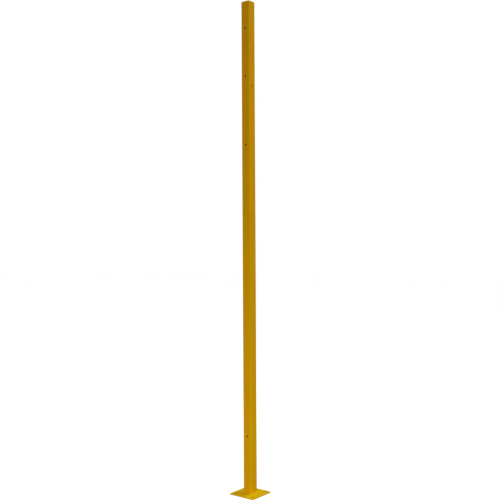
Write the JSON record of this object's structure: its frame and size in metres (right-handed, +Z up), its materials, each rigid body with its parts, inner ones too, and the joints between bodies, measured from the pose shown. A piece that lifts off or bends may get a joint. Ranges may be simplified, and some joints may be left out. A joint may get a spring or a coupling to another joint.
{
  "type": "machine guard post",
  "caption": "Tall square steel safety post on a square bolt-down base plate, drilled for guard panels and closed by a push-in cap.",
  "frame": {"origin": "centre of the base plate's underside, on the floor", "axes": "+Z up the post; -Y out of the face with the panel bolt holes; +X out of the face with the header bolt hole"},
  "size_m": [0.1524, 0.1524, 2.5781],
  "materials": {
    "powder_coat": "satin powder coat, safety yellow",
    "cap_plastic": "moulded polyethylene, safety yellow"
  },
  "bodies": {
    "post": {"base_plate": "powder_coat", "post_tube": "powder_coat", "weld_right": "powder_coat", "weld_back": "powder_coat", "weld_left": "powder_coat", "weld_front": "powder_coat"},
    "cap": {"top_cap": "cap_plastic"}
  },
  "joints": [
    {"name": "cap_pull", "type": "slide", "parent": "post", "child": "cap", "axis": [0, 0, 1], "range_m": [0, 0.03]}
  ]
}
